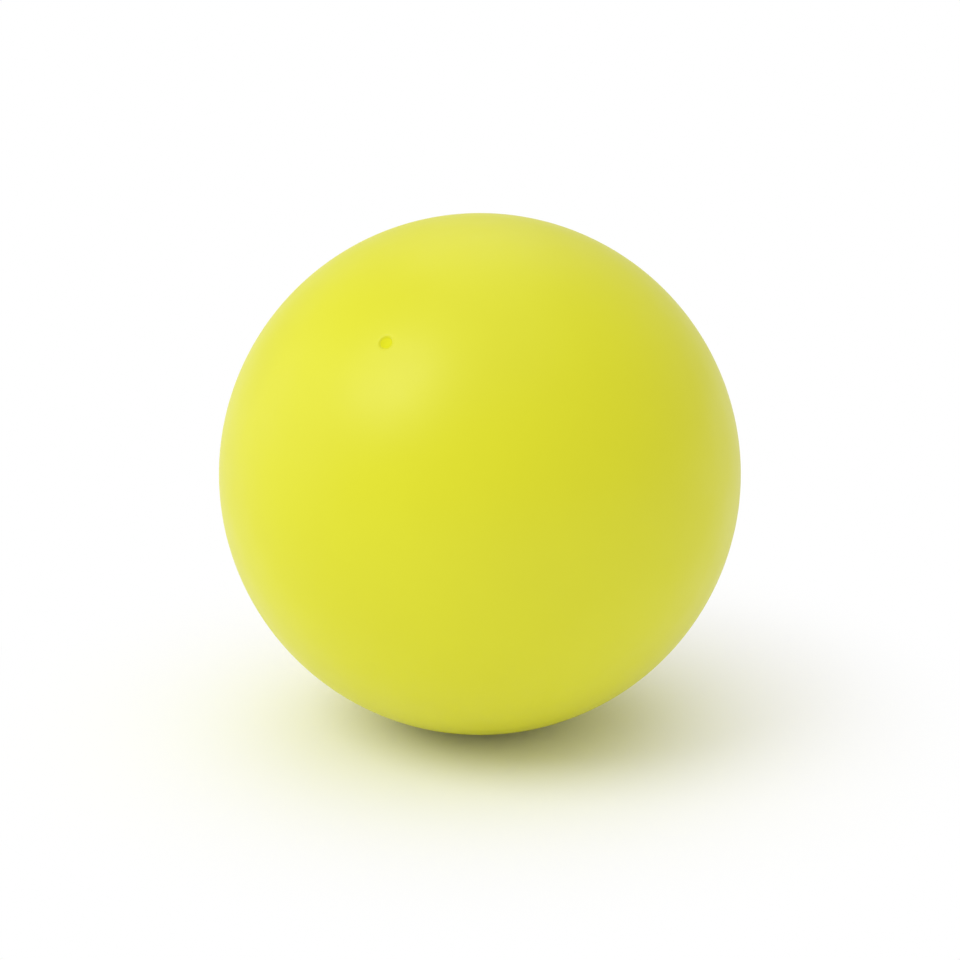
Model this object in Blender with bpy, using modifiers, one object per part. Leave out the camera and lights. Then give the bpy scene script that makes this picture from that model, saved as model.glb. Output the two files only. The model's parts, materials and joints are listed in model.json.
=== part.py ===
"""Inflatable bouncy ball: a seamless soft vinyl skin, a valve seat moulded into it and a push-in plug.

Run it with blender --background --python part.py, or from Blender's text editor.
Units are metres and degrees, with +Z up. The origin is the centre of the ball, and the viewer stands
on the -Y side. Every piece is turned about the valve's own axis, which runs through that centre.
"""

import math

import bpy

# The ball
BALL_DIAMETER = 0.190
SKIN_WALL = 0.003

# Where the valve sits: leaning from straight up towards the viewer, then turned to the viewer's left
VALVE_LEAN = 45.2
VALVE_TURN = 28.5

# The air bore, which narrows towards the inside of the ball
BORE_DIAMETER = 0.0030
BORE_NARROWING = 0.0003

# The round recess in the ball's surface that takes the plug's head, countersunk above it
HEAD_SEAT_WIDTH = 0.0007
WALL_SLOPE = 30.0
RIM_RADIUS = 0.0012
LIP_THICKNESS = 0.0012

# The plug
HEAD_SINK = 0.0004
HEAD_THICKNESS = 0.0012
HEAD_DISH = 0.0003
HEAD_EDGE = 0.0002
RIB_COUNT = 3
RIB_HEIGHT = 0.0002
RIB_WIDTH = 0.0009
RIB_CREST = 0.0003
TIP_REACH = 0.0012

# The valve seat: a tube with a flange that the skin's boss is moulded round
SEAT_WALL = 0.0011
SEAT_COLLAR = 0.0012
SEAT_TAIL = 0.0040
FLANGE_WIDTH = 0.0025
FLANGE_THICKNESS = 0.0016

# The boss, a thickened ring on the inside of the skin
BOSS_WALL = 0.0018
BOSS_FILLET = 0.0025
BOSS_EDGE = 0.0008

# Clearances: between pieces that seat on each other, and between the plug's ribs and the bore
SEAT_GAP = 0.0003
RIB_GAP = 0.00015

# How finely round shapes are cut
SKIN_STEPS = 56
VALVE_STEPS = 28
OUTSIDE_SEGMENTS = 34
INSIDE_SEGMENTS = 22
FILLET_SEGMENTS = 4
MERGE_DISTANCE = 0.00001
SHARP_ANGLE = 35.0

# Sizes that follow from those above
BALL_RADIUS = BALL_DIAMETER / 2
HOLLOW_RADIUS = BALL_RADIUS - SKIN_WALL
BORE_RADIUS = BORE_DIAMETER / 2
BORE_END_RADIUS = BORE_RADIUS - BORE_NARROWING
RECESS_RADIUS = BORE_RADIUS + HEAD_SEAT_WIDTH
HEAD_RADIUS = RECESS_RADIUS - SEAT_GAP
TUBE_RADIUS = BORE_RADIUS + SEAT_WALL
FLANGE_RADIUS = TUBE_RADIUS + FLANGE_WIDTH
BOSS_RADIUS = FLANGE_RADIUS + SEAT_GAP + BOSS_WALL

# Heights along the valve's axis, measured from the ball's centre, from the outside inwards
HEAD_TOP = BALL_RADIUS - HEAD_SINK
HEAD_UNDERSIDE = HEAD_TOP - HEAD_THICKNESS
RECESS_FLOOR = HEAD_UNDERSIDE - SEAT_GAP
LIP_UNDERSIDE = RECESS_FLOOR - LIP_THICKNESS
SEAT_TOP = LIP_UNDERSIDE - SEAT_GAP
FLANGE_TOP = SEAT_TOP - SEAT_COLLAR
FLANGE_UNDERSIDE = FLANGE_TOP - FLANGE_THICKNESS
BOSS_END = FLANGE_UNDERSIDE - SEAT_GAP - BOSS_WALL
SEAT_END = BOSS_END - SEAT_TAIL
PLUG_TIP = SEAT_END - TIP_REACH

# Finishes: name, linear base colour, roughness
SKIN_FINISH = ("skin_yellow_vinyl", (0.73, 0.72, 0.008), 0.42)
SEAT_FINISH = ("seat_natural_vinyl", (0.78, 0.76, 0.68), 0.50)
PLUG_FINISH = ("plug_yellow_vinyl", (0.73, 0.72, 0.008), 0.45)

COLLECTION_NAME = "bouncy_ball"


def clear_scene():
    for found in list(bpy.data.objects):
        bpy.data.objects.remove(found)


def make_material(finish):
    name, colour, roughness = finish
    material = bpy.data.materials.new(name)
    material.use_nodes = True
    shader = material.node_tree.nodes["Principled BSDF"]
    shader.inputs["Base Color"].default_value = (*colour, 1.0)
    shader.inputs["Roughness"].default_value = roughness
    shader.inputs["Metallic"].default_value = 0.0
    return material


def arc(centre, radius, start, end, segments):
    """Points on an arc in the profile's plane, as (distance from the axis, height), angles in radians."""
    points = []
    for step in range(segments + 1):
        angle = start + (end - start) * step / segments
        points.append((centre[0] + radius * math.cos(angle), centre[1] + radius * math.sin(angle)))
    return points


def bore_radius_at(height):
    """The bore is straight through the skin's lip, then tapers along the seat."""
    share = (SEAT_TOP - height) / (SEAT_TOP - SEAT_END)
    return BORE_RADIUS - BORE_NARROWING * min(max(share, 0.0), 1.0)


def turned(name, profile, closed, steps, material, axis, collection):
    """A solid turned about local Z from a profile of (distance from the axis, height) points."""
    edges = [(i, i + 1) for i in range(len(profile) - 1)]
    if closed:
        edges.append((len(profile) - 1, 0))
    outline = bpy.data.meshes.new(name)
    outline.from_pydata([(r, 0.0, z) for r, z in profile], edges, [])
    piece = bpy.data.objects.new(name, outline)
    collection.objects.link(piece)
    screw = piece.modifiers.new("Turn", "SCREW")
    screw.axis = "Z"
    screw.steps = steps
    screw.render_steps = steps
    screw.use_merge_vertices = True
    screw.merge_threshold = MERGE_DISTANCE
    solid = bpy.data.meshes.new_from_object(piece.evaluated_get(bpy.context.evaluated_depsgraph_get()))
    solid.name = name
    solid.shade_smooth()
    solid.set_sharp_from_angle(angle=math.radians(SHARP_ANGLE))
    solid.materials.append(material)
    piece.modifiers.remove(screw)
    piece.data = solid
    bpy.data.meshes.remove(outline)
    piece.parent = axis
    return piece


def boss_profile():
    """The boss from the hollow's surface down its side to its end face, with its fillet and its edge."""
    hollow_height = math.sqrt(HOLLOW_RADIUS ** 2 - BOSS_RADIUS ** 2)
    rise = hollow_height - BOSS_END
    fillet = min(BOSS_FILLET, rise / 2)
    edge = min(BOSS_EDGE, rise / 4, BOSS_WALL / 2)
    centre_out = BOSS_RADIUS + fillet
    centre_up = math.sqrt((HOLLOW_RADIUS - fillet) ** 2 - centre_out ** 2)
    tangent = math.atan2(centre_up, centre_out)
    root = arc((centre_out, centre_up), fillet, tangent, math.pi, FILLET_SEGMENTS)
    end = arc((BOSS_RADIUS - edge, BOSS_END + edge), edge, 0.0, -math.pi / 2, FILLET_SEGMENTS)
    return tangent, root + end


def pocket_profile():
    """The space that the seat fills in the boss, from the boss's end face up to the lip and the bore."""
    tube = TUBE_RADIUS + SEAT_GAP
    flange = FLANGE_RADIUS + SEAT_GAP
    return [
        (tube, BOSS_END),
        (tube, FLANGE_UNDERSIDE - SEAT_GAP),
        (flange, FLANGE_UNDERSIDE - SEAT_GAP),
        (flange, FLANGE_TOP + SEAT_GAP),
        (tube, FLANGE_TOP + SEAT_GAP),
        (tube, LIP_UNDERSIDE),
        (BORE_RADIUS, LIP_UNDERSIDE),
        (BORE_RADIUS, RECESS_FLOOR),
    ]


def recess_profile():
    """The recess from its floor up past the head, out along its countersink and over its rounded rim.

    The rim's centre slides out parallel to the countersink until its arc touches the ball's surface.
    """
    slope = math.radians(WALL_SLOPE)
    along = (math.cos(slope), math.sin(slope))
    start_out = RECESS_RADIUS + RIM_RADIUS * along[1]
    start_up = HEAD_TOP - RIM_RADIUS * along[0]
    reach = BALL_RADIUS - RIM_RADIUS
    half = start_out * along[0] + start_up * along[1]
    run = -half + math.sqrt(half ** 2 + reach ** 2 - start_out ** 2 - start_up ** 2)
    centre = (start_out + run * along[0], start_up + run * along[1])
    tangent = math.atan2(centre[1], centre[0])
    rim = arc(centre, RIM_RADIUS, math.pi / 2 + slope, tangent, FILLET_SEGMENTS)
    return tangent, [(RECESS_RADIUS, RECESS_FLOOR), (RECESS_RADIUS, HEAD_TOP)] + rim


def ball_skin(material, axis, collection):
    """The hollow ball: up its inner side, through boss, pocket and recess, and down its outer side."""
    bottom = -math.pi / 2
    boss_tangent, boss = boss_profile()
    rim_tangent, recess = recess_profile()
    inside = arc((0.0, 0.0), HOLLOW_RADIUS, bottom, boss_tangent, INSIDE_SEGMENTS)
    outside = arc((0.0, 0.0), BALL_RADIUS, rim_tangent, bottom, OUTSIDE_SEGMENTS)
    profile = inside[:-1] + boss + pocket_profile() + recess + outside[1:]
    return turned("ball_skin", profile, False, SKIN_STEPS, material, axis, collection)


def valve_seat(material, axis, collection):
    """The flanged tube that carries the tapered bore."""
    profile = [
        (BORE_RADIUS, SEAT_TOP),
        (TUBE_RADIUS, SEAT_TOP),
        (TUBE_RADIUS, FLANGE_TOP),
        (FLANGE_RADIUS, FLANGE_TOP),
        (FLANGE_RADIUS, FLANGE_UNDERSIDE),
        (TUBE_RADIUS, FLANGE_UNDERSIDE),
        (TUBE_RADIUS, SEAT_END),
        (BORE_END_RADIUS, SEAT_END),
    ]
    return turned("valve_seat", profile, True, VALVE_STEPS, material, axis, collection)


def shank_radius_at(height):
    return bore_radius_at(height) - RIB_GAP - RIB_HEIGHT


def plug_ribs():
    """Sealing ribs, evenly spaced along the seat, each a small ring with sloping sides and a flat crest."""
    points = []
    pitch = (SEAT_TOP - SEAT_END) / (RIB_COUNT + 1)
    for rib in range(RIB_COUNT):
        middle = SEAT_TOP - pitch * (rib + 1)
        for rise, offset in (
            (0.0, RIB_WIDTH / 2),
            (RIB_HEIGHT, RIB_CREST / 2),
            (RIB_HEIGHT, -RIB_CREST / 2),
            (0.0, -RIB_WIDTH / 2),
        ):
            level = middle + offset
            points.append((shank_radius_at(level) + rise, level))
    return points


def valve_plug(material, axis, collection):
    """The stopper: a dished head that lies sunk in the recess, and a ribbed shank that fills the bore."""
    edge = min(HEAD_EDGE, HEAD_THICKNESS / 2)
    tip_radius = shank_radius_at(SEAT_END)
    dish = []
    for step in range(FILLET_SEGMENTS):
        share = step / FILLET_SEGMENTS
        dish.append(((HEAD_RADIUS - edge) * share, HEAD_TOP - HEAD_DISH * (1.0 - share ** 2)))
    head = arc((HEAD_RADIUS - edge, HEAD_TOP - edge), edge, math.pi / 2, 0.0, FILLET_SEGMENTS)
    tip = arc((0.0, PLUG_TIP + tip_radius), tip_radius, 0.0, -math.pi / 2, FILLET_SEGMENTS)
    under_head = [(HEAD_RADIUS, HEAD_UNDERSIDE), (shank_radius_at(HEAD_UNDERSIDE), HEAD_UNDERSIDE)]
    profile = dish + head + under_head + plug_ribs() + tip
    return turned("valve_plug", profile, False, VALVE_STEPS, material, axis, collection)


def main():
    clear_scene()
    collection = bpy.data.collections.new(COLLECTION_NAME)
    bpy.context.scene.collection.children.link(collection)
    axis = bpy.data.objects.new("valve_axis", None)
    axis.rotation_euler = (math.radians(VALVE_LEAN), 0.0, -math.radians(VALVE_TURN))
    collection.objects.link(axis)
    ball_skin(make_material(SKIN_FINISH), axis, collection)
    valve_seat(make_material(SEAT_FINISH), axis, collection)
    valve_plug(make_material(PLUG_FINISH), axis, collection)


main()
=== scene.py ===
"""The dressed bouncy ball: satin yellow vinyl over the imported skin, valve seat and plug, on a floor.

Units are metres and degrees, +Z up, with the ball's centre at the origin and the viewer on the -Y side.
Each piece is turned about the valve's axis from a profile of (distance from the axis, height) points.
"""

import json
import math

import bpy
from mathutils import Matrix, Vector


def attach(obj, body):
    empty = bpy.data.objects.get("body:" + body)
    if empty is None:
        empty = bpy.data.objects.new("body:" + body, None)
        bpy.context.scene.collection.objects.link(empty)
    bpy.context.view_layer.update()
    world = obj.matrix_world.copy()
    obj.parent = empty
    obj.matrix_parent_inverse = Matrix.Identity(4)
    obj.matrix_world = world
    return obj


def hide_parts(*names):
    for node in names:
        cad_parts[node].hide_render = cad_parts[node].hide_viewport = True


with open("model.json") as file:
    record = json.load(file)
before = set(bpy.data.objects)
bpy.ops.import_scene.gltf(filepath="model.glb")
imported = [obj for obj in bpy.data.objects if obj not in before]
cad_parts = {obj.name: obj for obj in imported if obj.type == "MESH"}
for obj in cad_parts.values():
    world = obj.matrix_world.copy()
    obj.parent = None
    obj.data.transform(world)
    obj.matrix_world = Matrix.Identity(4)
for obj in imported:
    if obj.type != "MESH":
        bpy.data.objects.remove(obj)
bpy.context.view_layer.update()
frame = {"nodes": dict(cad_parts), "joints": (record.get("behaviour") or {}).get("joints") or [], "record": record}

# The photograph: the ball's outline in its square frame, in pixels
PHOTO_SIZE = 960
OUTLINE_CENTRE = (479.9, 474.0)
OUTLINE_RADIUS = 261.0

# Where the camera stands, and the width of its sensor in millimetres
CAMERA_ELEVATION = 18.35
CAMERA_DISTANCE = 1.2
SENSOR_WIDTH = 36.0

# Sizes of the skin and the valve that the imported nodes' outer corners don't give
WALL = 0.003
SEAT_GAP = 0.0003
WALL_SLOPE = 30.0
RIM_RADIUS = 0.0012
HEAD_THICKNESS = 0.0012
HEAD_DISH = 0.0003
LIP_THICKNESS = 0.0012
SEAT_WALL = 0.0011
SEAT_COLLAR = 0.0012
FLANGE_WIDTH = 0.0025
FLANGE_THICKNESS = 0.0016
BOSS_WALL = 0.0018
BOSS_FILLET = 0.0025
BOSS_EDGE = 0.0008
BORE_NARROWING = 0.0003
RIB_COUNT = 3
RIB_GAP = 0.00015
RIB_HEIGHT = 0.0002
RIB_WIDTH = 0.0009

# Moulded softness that only the dressed pieces have, and the fine line round the plug's head
EDGE = 0.00012
HEAD_EDGE = 0.00005
HEAD_ROOT = 0.00020
HEAD_LINE = 0.00002

# How finely the pieces are turned
SKIN_STEPS = 192
VALVE_STEPS = 96
OUTSIDE_SEGMENTS = 128
INSIDE_SEGMENTS = 48
ARC_SEGMENTS = 8
MERGE_DISTANCE = 0.00001
SHARP_ANGLE = 40.0

# Finishes: linear colours, then each piece's specular level and roughness
YELLOW = (0.738, 0.735, 0.003)
YELLOW_DEEPER = (0.725, 0.716, 0.0025)
NATURAL = (0.78, 0.76, 0.68)
NATURAL_DEEPER = (0.70, 0.67, 0.58)
WHITE = (1.0, 1.0, 1.0)
FLOOR_COLOUR = (0.96, 0.96, 0.96)
SKIN_GLOSS = 0.52
SKIN_ROUGHNESS = 0.40
PLUG_GLOSS = 0.18
PLUG_ROUGHNESS = 0.60
SEAT_GLOSS = 0.54
SEAT_ROUGHNESS = 0.45

# What all the vinyl shares: noise scales per metre with their detail, and how far each noise shows
VINYL_IOR = 1.5
CLOUD_SCALE = 22.0
CLOUD_DETAIL = 3.0
UNEVEN_SCALE = 70.0
UNEVEN_DETAIL = 4.0
UNEVEN_ROUGHNESS = 0.03
GRAIN_SCALE = 1600.0
GRAIN_DETAIL = 2.0
GRAIN_STRENGTH = 0.12
GRAIN_DEPTH = 0.00008
NOISE_LOW = 0.3
NOISE_HIGH = 0.7

# Soft lamps: azimuth from the viewer's side, positive to the right, then elevation, angular width, and
# the level at which a white card that faces the lamp renders
LAMPS = {
    "key_softbox": (-59.0, 48.0, 36.0, 0.255),
    "left_softbox": (-97.0, 10.0, 60.0, 0.150),
    "top_softbox": (0.0, 80.0, 60.0, 0.090),
    "back_softbox": (180.0, 50.0, 40.0, 0.060),
}
LAMP_COLOUR = (0.97, 1.0, 1.12)
LAMP_DISTANCE = 2.0

# The white room all round
ROOM_LIGHT = 0.695
ROOM_COLOUR = (1.0, 0.985, 0.94)

# The floor is plain up to the first distance from under the ball, and is white from the second on
FLOOR_SIZE = 20.0
PLAIN_FLOOR = 0.04
WHITE_FLOOR = 0.20


def along_valve(name):
    """A node's lowest and highest point along the valve's axis, and its widest distance from it."""
    heights = []
    distances = []
    for vertex in frame["nodes"][name].data.vertices:
        height = vertex.co.dot(VALVE_AXIS)
        heights.append(height)
        distances.append((vertex.co - VALVE_AXIS * height).length)
    return min(heights), max(heights), max(distances)


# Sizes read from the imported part, and what follows from them
VALVE_AXIS = Vector(frame["joints"][0]["axis"]).normalized()
BALL_RADIUS = -frame["record"]["mounts"][0]["pos_m"][2]
PLUG_TIP, HEAD_TOP, HEAD_RADIUS = along_valve("valve_plug")
SEAT_END, SEAT_TOP, FLANGE_RADIUS = along_valve("valve_seat")
HOLLOW_RADIUS = BALL_RADIUS - WALL
RECESS_RADIUS = HEAD_RADIUS + SEAT_GAP
TUBE_RADIUS = FLANGE_RADIUS - FLANGE_WIDTH
BORE_RADIUS = TUBE_RADIUS - SEAT_WALL
BORE_END_RADIUS = BORE_RADIUS - BORE_NARROWING
BOSS_RADIUS = FLANGE_RADIUS + SEAT_GAP + BOSS_WALL
HEAD_UNDERSIDE = HEAD_TOP - HEAD_THICKNESS
RECESS_FLOOR = HEAD_UNDERSIDE - SEAT_GAP
LIP_UNDERSIDE = RECESS_FLOOR - LIP_THICKNESS
FLANGE_TOP = SEAT_TOP - SEAT_COLLAR
FLANGE_UNDERSIDE = FLANGE_TOP - FLANGE_THICKNESS
BOSS_END = FLANGE_UNDERSIDE - SEAT_GAP - BOSS_WALL


def arc(out, up, radius, start, end, segments=ARC_SEGMENTS):
    """Points on an arc about (out, up), with angles counted from straight out."""
    points = []
    for step in range(segments + 1):
        angle = math.radians(start + (end - start) * step / segments)
        points.append((out + radius * math.cos(angle), up + radius * math.sin(angle)))
    return points


def fillet_on_sphere(out, sphere, radius):
    """The height of a fillet's centre that touches a sphere from inside, and the angle where it does."""
    up = math.sqrt((sphere - radius) ** 2 - out ** 2)
    return up, math.degrees(math.atan2(up, out))


def countersink():
    """The rounded rim above the recess's sloping wall, and the angle at which it meets the ball.

    The rim's circle lies in the skin against the wall, and slides up along it from the head's level
    until it touches the ball's surface from inside.
    """
    slope = math.radians(WALL_SLOPE)
    along = (math.cos(slope), math.sin(slope))
    start_out = RECESS_RADIUS + RIM_RADIUS * along[1]
    start_up = HEAD_TOP - RIM_RADIUS * along[0]
    reach = BALL_RADIUS - RIM_RADIUS
    half = start_out * along[0] + start_up * along[1]
    run = -half + math.sqrt(half ** 2 + reach ** 2 - start_out ** 2 - start_up ** 2)
    out = start_out + run * along[0]
    up = start_up + run * along[1]
    end_angle = math.degrees(math.atan2(up, out))
    return arc(out, up, RIM_RADIUS, 90.0 + WALL_SLOPE, end_angle), end_angle


def turned(name, profile, closed, steps, material):
    """A smooth solid turned about the valve's axis."""
    edges = [(i, i + 1) for i in range(len(profile) - 1)]
    if closed:
        edges.append((len(profile) - 1, 0))
    outline = bpy.data.meshes.new(name)
    outline.from_pydata([(r, 0.0, z) for r, z in profile], edges, [])
    piece = bpy.data.objects.new(name, outline)
    bpy.context.scene.collection.objects.link(piece)
    screw = piece.modifiers.new("Turn", "SCREW")
    screw.axis = "Z"
    screw.steps = steps
    screw.render_steps = steps
    screw.use_merge_vertices = True
    screw.merge_threshold = MERGE_DISTANCE
    depsgraph = bpy.context.evaluated_depsgraph_get()
    solid = bpy.data.meshes.new_from_object(piece.evaluated_get(depsgraph))
    piece.modifiers.remove(screw)
    piece.data = solid
    bpy.data.meshes.remove(outline)
    solid.name = name
    solid.transform(VALVE_AXIS.to_track_quat("Z", "Y").to_matrix().to_4x4())
    solid.shade_smooth()
    solid.set_sharp_from_angle(angle=math.radians(SHARP_ANGLE))
    solid.materials.append(material)
    return piece


def skin_profile():
    """Up the inside, over the boss, through pocket, lip and recess, and down the outside."""
    boss_out = BOSS_RADIUS + BOSS_FILLET
    boss_up, boss_angle = fillet_on_sphere(boss_out, HOLLOW_RADIUS, BOSS_FILLET)
    rim, rim_angle = countersink()
    tube = TUBE_RADIUS + SEAT_GAP
    flange = FLANGE_RADIUS + SEAT_GAP
    inside = arc(0.0, 0.0, HOLLOW_RADIUS, -90.0, boss_angle, INSIDE_SEGMENTS)
    boss = arc(boss_out, boss_up, BOSS_FILLET, boss_angle, 180.0)[1:]
    boss += arc(BOSS_RADIUS - BOSS_EDGE, BOSS_END + BOSS_EDGE, BOSS_EDGE, 0.0, -90.0)
    pocket = [
        (tube, BOSS_END),
        (tube, FLANGE_UNDERSIDE - SEAT_GAP),
        (flange, FLANGE_UNDERSIDE - SEAT_GAP),
        (flange, FLANGE_TOP + SEAT_GAP),
        (tube, FLANGE_TOP + SEAT_GAP),
        (tube, LIP_UNDERSIDE),
        (BORE_RADIUS, LIP_UNDERSIDE),
    ]
    lip = arc(BORE_RADIUS + EDGE, RECESS_FLOOR - EDGE, EDGE, 180.0, 90.0)
    recess = arc(RECESS_RADIUS - EDGE, RECESS_FLOOR + EDGE, EDGE, -90.0, 0.0)
    recess.append((RECESS_RADIUS, HEAD_TOP))
    outside = arc(0.0, 0.0, BALL_RADIUS, rim_angle, -90.0, OUTSIDE_SEGMENTS)[1:]
    return inside + boss + pocket + lip + recess + rim + outside


def seat_profile():
    """Round the flanged tube, from the bore's upper edge down the outer side and back up the bore."""
    top = arc(BORE_RADIUS + EDGE, SEAT_TOP - EDGE, EDGE, 180.0, 90.0)
    top += arc(TUBE_RADIUS - EDGE, SEAT_TOP - EDGE, EDGE, 90.0, 0.0)
    flange = [(TUBE_RADIUS, FLANGE_TOP)]
    flange += arc(FLANGE_RADIUS - EDGE, FLANGE_TOP - EDGE, EDGE, 90.0, 0.0)
    flange += arc(FLANGE_RADIUS - EDGE, FLANGE_UNDERSIDE + EDGE, EDGE, 0.0, -90.0)
    flange += [(TUBE_RADIUS, FLANGE_UNDERSIDE)]
    end = arc(TUBE_RADIUS - EDGE, SEAT_END + EDGE, EDGE, 0.0, -90.0)
    end += arc(BORE_END_RADIUS + EDGE, SEAT_END + EDGE, EDGE, -90.0, -180.0)
    return top + flange + end


def shank_radius_at(height):
    """The plug's shank follows the bore, which is straight through the lip and tapers along the seat."""
    share = (SEAT_TOP - height) / (SEAT_TOP - SEAT_END)
    bore = BORE_RADIUS - BORE_NARROWING * min(max(share, 0.0), 1.0)
    return bore - RIB_GAP - RIB_HEIGHT


def plug_profile():
    """A dished head with a soft edge, a shank with rounded sealing ribs, and a round tip."""
    brim = RECESS_RADIUS - HEAD_LINE
    flat = brim - HEAD_EDGE
    dish = []
    for step in range(ARC_SEGMENTS):
        out = flat * step / ARC_SEGMENTS
        dish.append((out, HEAD_TOP - HEAD_DISH * (1.0 - (out / flat) ** 2)))
    head = arc(flat, HEAD_TOP - HEAD_EDGE, HEAD_EDGE, 90.0, 0.0)
    head += arc(brim - EDGE, HEAD_UNDERSIDE + EDGE, EDGE, 0.0, -90.0)
    neck = shank_radius_at(HEAD_UNDERSIDE)
    root = arc(neck + HEAD_ROOT, HEAD_UNDERSIDE - HEAD_ROOT, HEAD_ROOT, 90.0, 180.0)
    ribs = []
    pitch = (SEAT_TOP - SEAT_END) / (RIB_COUNT + 1)
    for rib in range(RIB_COUNT):
        for step in range(ARC_SEGMENTS + 1):
            share = step / ARC_SEGMENTS
            height = SEAT_TOP - pitch * (rib + 1) + RIB_WIDTH * (0.5 - share)
            rise = RIB_HEIGHT * (1.0 - math.cos(2.0 * math.pi * share)) / 2.0
            ribs.append((shank_radius_at(height) + rise, height))
    tip_radius = shank_radius_at(SEAT_END)
    tip = arc(0.0, PLUG_TIP + tip_radius, tip_radius, 0.0, -90.0)
    return dish + head + root + ribs + tip


def node(tree, kind, **settings):
    """A new node with its sockets' values set by name, where an underscore stands for a space."""
    made = tree.nodes.new(kind)
    for name, value in settings.items():
        made.inputs[name.replace("_", " ")].default_value = value
    return made


def noise(tree, coordinates, scale, detail):
    """A noise over the coordinates, from 0 to 1."""
    made = node(tree, "ShaderNodeTexNoise", Scale=scale, Detail=detail)
    tree.links.new(coordinates, made.inputs["Vector"])
    return made.outputs["Fac"]


def between(tree, share, low, high):
    """A value that runs from low to high as share runs over a noise's usual spread."""
    made = node(
        tree,
        "ShaderNodeMapRange",
        From_Min=NOISE_LOW,
        From_Max=NOISE_HIGH,
        To_Min=low,
        To_Max=high,
    )
    tree.links.new(share, made.inputs["Value"])
    return made.outputs["Result"]


def vinyl(name, colour, deeper, gloss, roughness):
    """Moulded vinyl: slight clouds of colour, a faint unevenness of gloss and a very fine grain."""
    material = bpy.data.materials.new(name)
    material.use_nodes = True
    tree = material.node_tree
    shader = tree.nodes["Principled BSDF"]
    shader.inputs["IOR"].default_value = VINYL_IOR
    shader.inputs["Specular IOR Level"].default_value = gloss
    coordinates = tree.nodes.new("ShaderNodeTexCoord").outputs["Object"]

    cloud = tree.nodes.new("ShaderNodeMix")
    cloud.data_type = "RGBA"
    cloud.inputs["A"].default_value = (*colour, 1.0)
    cloud.inputs["B"].default_value = (*deeper, 1.0)
    cloudiness = noise(tree, coordinates, CLOUD_SCALE, CLOUD_DETAIL)
    tree.links.new(between(tree, cloudiness, 0.0, 1.0), cloud.inputs["Factor"])
    tree.links.new(cloud.outputs["Result"], shader.inputs["Base Color"])

    unevenness = noise(tree, coordinates, UNEVEN_SCALE, UNEVEN_DETAIL)
    smoothest = roughness - UNEVEN_ROUGHNESS
    roughest = roughness + UNEVEN_ROUGHNESS
    tree.links.new(between(tree, unevenness, smoothest, roughest), shader.inputs["Roughness"])

    grain = node(tree, "ShaderNodeBump", Strength=GRAIN_STRENGTH, Distance=GRAIN_DEPTH)
    tree.links.new(noise(tree, coordinates, GRAIN_SCALE, GRAIN_DETAIL), grain.inputs["Height"])
    tree.links.new(grain.outputs["Normal"], shader.inputs["Normal"])
    return material


def seen_directly(tree):
    """1 for rays that show the backdrop: from the camera, from gloss and through clear things."""
    path = tree.nodes.new("ShaderNodeLightPath")
    seen = path.outputs["Is Camera Ray"]
    for other in ("Is Glossy Ray", "Is Transmission Ray"):
        either = tree.nodes.new("ShaderNodeMath")
        either.operation = "MAXIMUM"
        tree.links.new(seen, either.inputs[0])
        tree.links.new(path.outputs[other], either.inputs[1])
        seen = either.outputs[0]
    return seen


def add_world():
    """Soft light from a white room all round."""
    world = bpy.data.worlds.new("studio")
    bpy.context.scene.world = world
    world.use_nodes = True
    background = world.node_tree.nodes["Background"]
    background.inputs["Color"].default_value = (*ROOM_COLOUR, 1.0)
    background.inputs["Strength"].default_value = ROOM_LIGHT


def add_floor():
    """A pale floor that keeps the ball's shadow and runs out to plain white."""
    bpy.ops.mesh.primitive_plane_add(size=FLOOR_SIZE, location=(0.0, 0.0, -BALL_RADIUS))
    floor = bpy.context.object
    floor.name = "floor"
    material = bpy.data.materials.new("floor_white")
    material.use_nodes = True
    tree = material.node_tree
    tree.nodes.remove(tree.nodes["Principled BSDF"])
    matt = node(tree, "ShaderNodeBsdfDiffuse", Color=(*FLOOR_COLOUR, 1.0))
    glow = node(tree, "ShaderNodeEmission", Color=(*WHITE, 1.0))
    distance = tree.nodes.new("ShaderNodeVectorMath")
    distance.operation = "LENGTH"
    tree.links.new(tree.nodes.new("ShaderNodeTexCoord").outputs["Object"], distance.inputs[0])
    far = node(tree, "ShaderNodeMapRange", From_Min=PLAIN_FLOOR, From_Max=WHITE_FLOOR)
    far.interpolation_type = "SMOOTHSTEP"
    tree.links.new(distance.outputs["Value"], far.inputs["Value"])
    share = tree.nodes.new("ShaderNodeMath")
    share.operation = "MULTIPLY"
    tree.links.new(far.outputs["Result"], share.inputs[0])
    tree.links.new(seen_directly(tree), share.inputs[1])
    mix = tree.nodes.new("ShaderNodeMixShader")
    tree.links.new(share.outputs["Value"], mix.inputs["Fac"])
    tree.links.new(matt.outputs["BSDF"], mix.inputs[1])
    tree.links.new(glow.outputs["Emission"], mix.inputs[2])
    tree.links.new(mix.outputs["Shader"], tree.nodes["Material Output"].inputs["Surface"])
    floor.data.materials.append(material)


def direction(azimuth, elevation):
    """From the ball's centre, with azimuth 0 towards the viewer and positive to the viewer's right."""
    turn = math.radians(azimuth)
    rise = math.radians(elevation)
    across = math.cos(rise)
    return Vector((math.sin(turn) * across, -math.cos(turn) * across, math.sin(rise)))


def add_lamps():
    """Sun lamps as wide as softboxes, each pointing at the ball."""
    for name, (azimuth, elevation, width, level) in LAMPS.items():
        light = bpy.data.lights.new(name, "SUN")
        light.angle = math.radians(width)
        light.energy = math.pi * level
        light.color = LAMP_COLOUR
        lamp = bpy.data.objects.new(name, light)
        lamp.location = direction(azimuth, elevation) * LAMP_DISTANCE
        lamp.rotation_euler = lamp.location.to_track_quat("Z", "Y").to_euler()
        bpy.context.scene.collection.objects.link(lamp)


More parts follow.
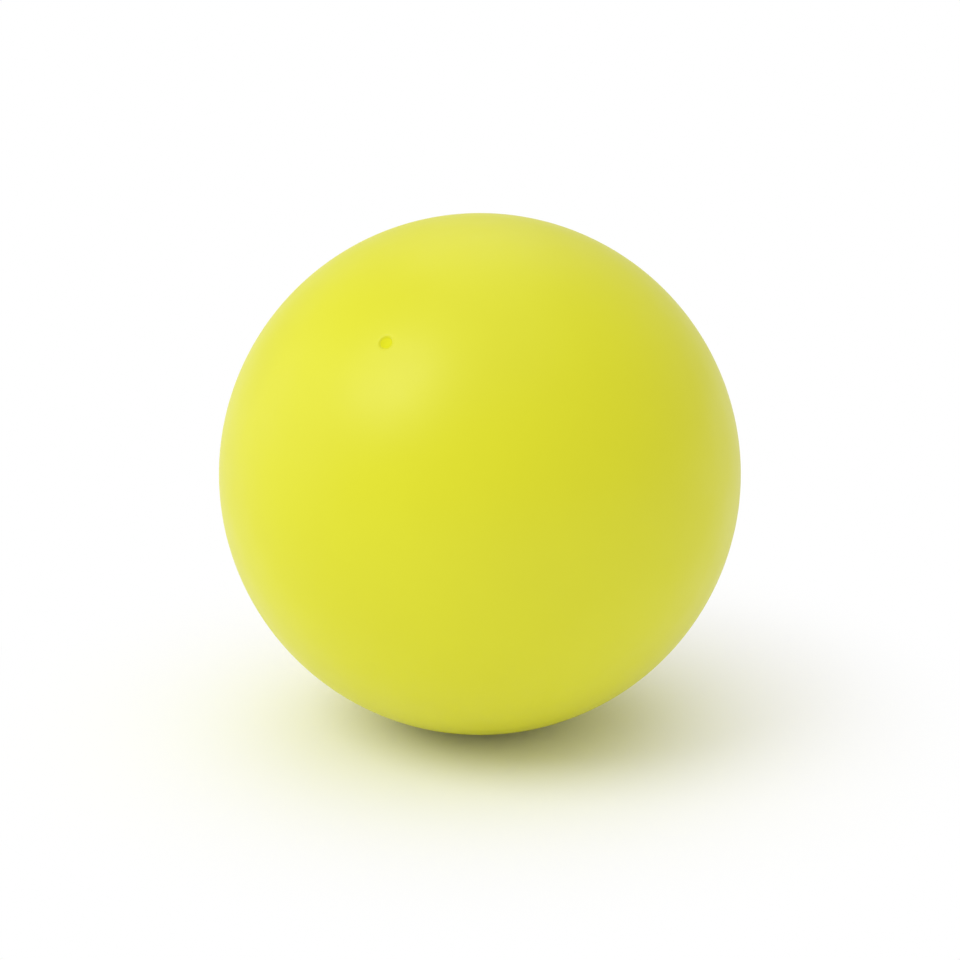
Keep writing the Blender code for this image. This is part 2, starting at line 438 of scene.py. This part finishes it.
def add_camera():
    """Stands where the ball's outline falls on the photograph's."""
    focal_pixels = OUTLINE_RADIUS / math.tan(math.asin(BALL_RADIUS / CAMERA_DISTANCE))
    rise = math.radians(CAMERA_ELEVATION)
    up = Vector((0.0, math.sin(rise), math.cos(rise)))
    right = Vector((1.0, 0.0, 0.0))
    metres_per_pixel = CAMERA_DISTANCE / focal_pixels
    aside = (PHOTO_SIZE / 2 - OUTLINE_CENTRE[0]) * metres_per_pixel
    above = (OUTLINE_CENTRE[1] - PHOTO_SIZE / 2) * metres_per_pixel
    data = bpy.data.cameras.new("camera")
    data.sensor_width = SENSOR_WIDTH
    data.lens = focal_pixels * SENSOR_WIDTH / PHOTO_SIZE
    camera = bpy.data.objects.new("camera", data)
    camera.location = direction(0.0, CAMERA_ELEVATION) * CAMERA_DISTANCE + right * aside + up * above
    camera.rotation_euler = (math.pi / 2 - rise, 0.0, 0.0)
    bpy.context.scene.collection.objects.link(camera)
    bpy.context.scene.camera = camera


def add_pieces():
    """The three dressed pieces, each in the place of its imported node."""
    yellow = vinyl("yellow_vinyl", YELLOW, YELLOW_DEEPER, SKIN_GLOSS, SKIN_ROUGHNESS)
    plug_yellow = vinyl("plug_yellow_vinyl", YELLOW, YELLOW_DEEPER, PLUG_GLOSS, PLUG_ROUGHNESS)
    natural = vinyl("natural_vinyl", NATURAL, NATURAL_DEEPER, SEAT_GLOSS, SEAT_ROUGHNESS)
    skin = skin_profile()
    seat = seat_profile()
    plug = plug_profile()
    for name, profile, closed, steps, material, body, stands_for, slot in (
        ("ball_skin_vinyl", skin, False, SKIN_STEPS, yellow, "ball", "ball_skin", "skin"),
        ("valve_seat_bush", seat, True, VALVE_STEPS, natural, "ball", "valve_seat", "seat"),
        ("valve_plug_stopper", plug, False, VALVE_STEPS, plug_yellow, "plug", "valve_plug", "plug"),
    ):
        piece = turned(name, profile, closed, steps, material)
        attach(piece, body)
        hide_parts(stands_for)


bpy.context.scene.view_settings.view_transform = "Standard"
add_camera()
add_world()
add_floor()
add_lamps()
add_pieces()
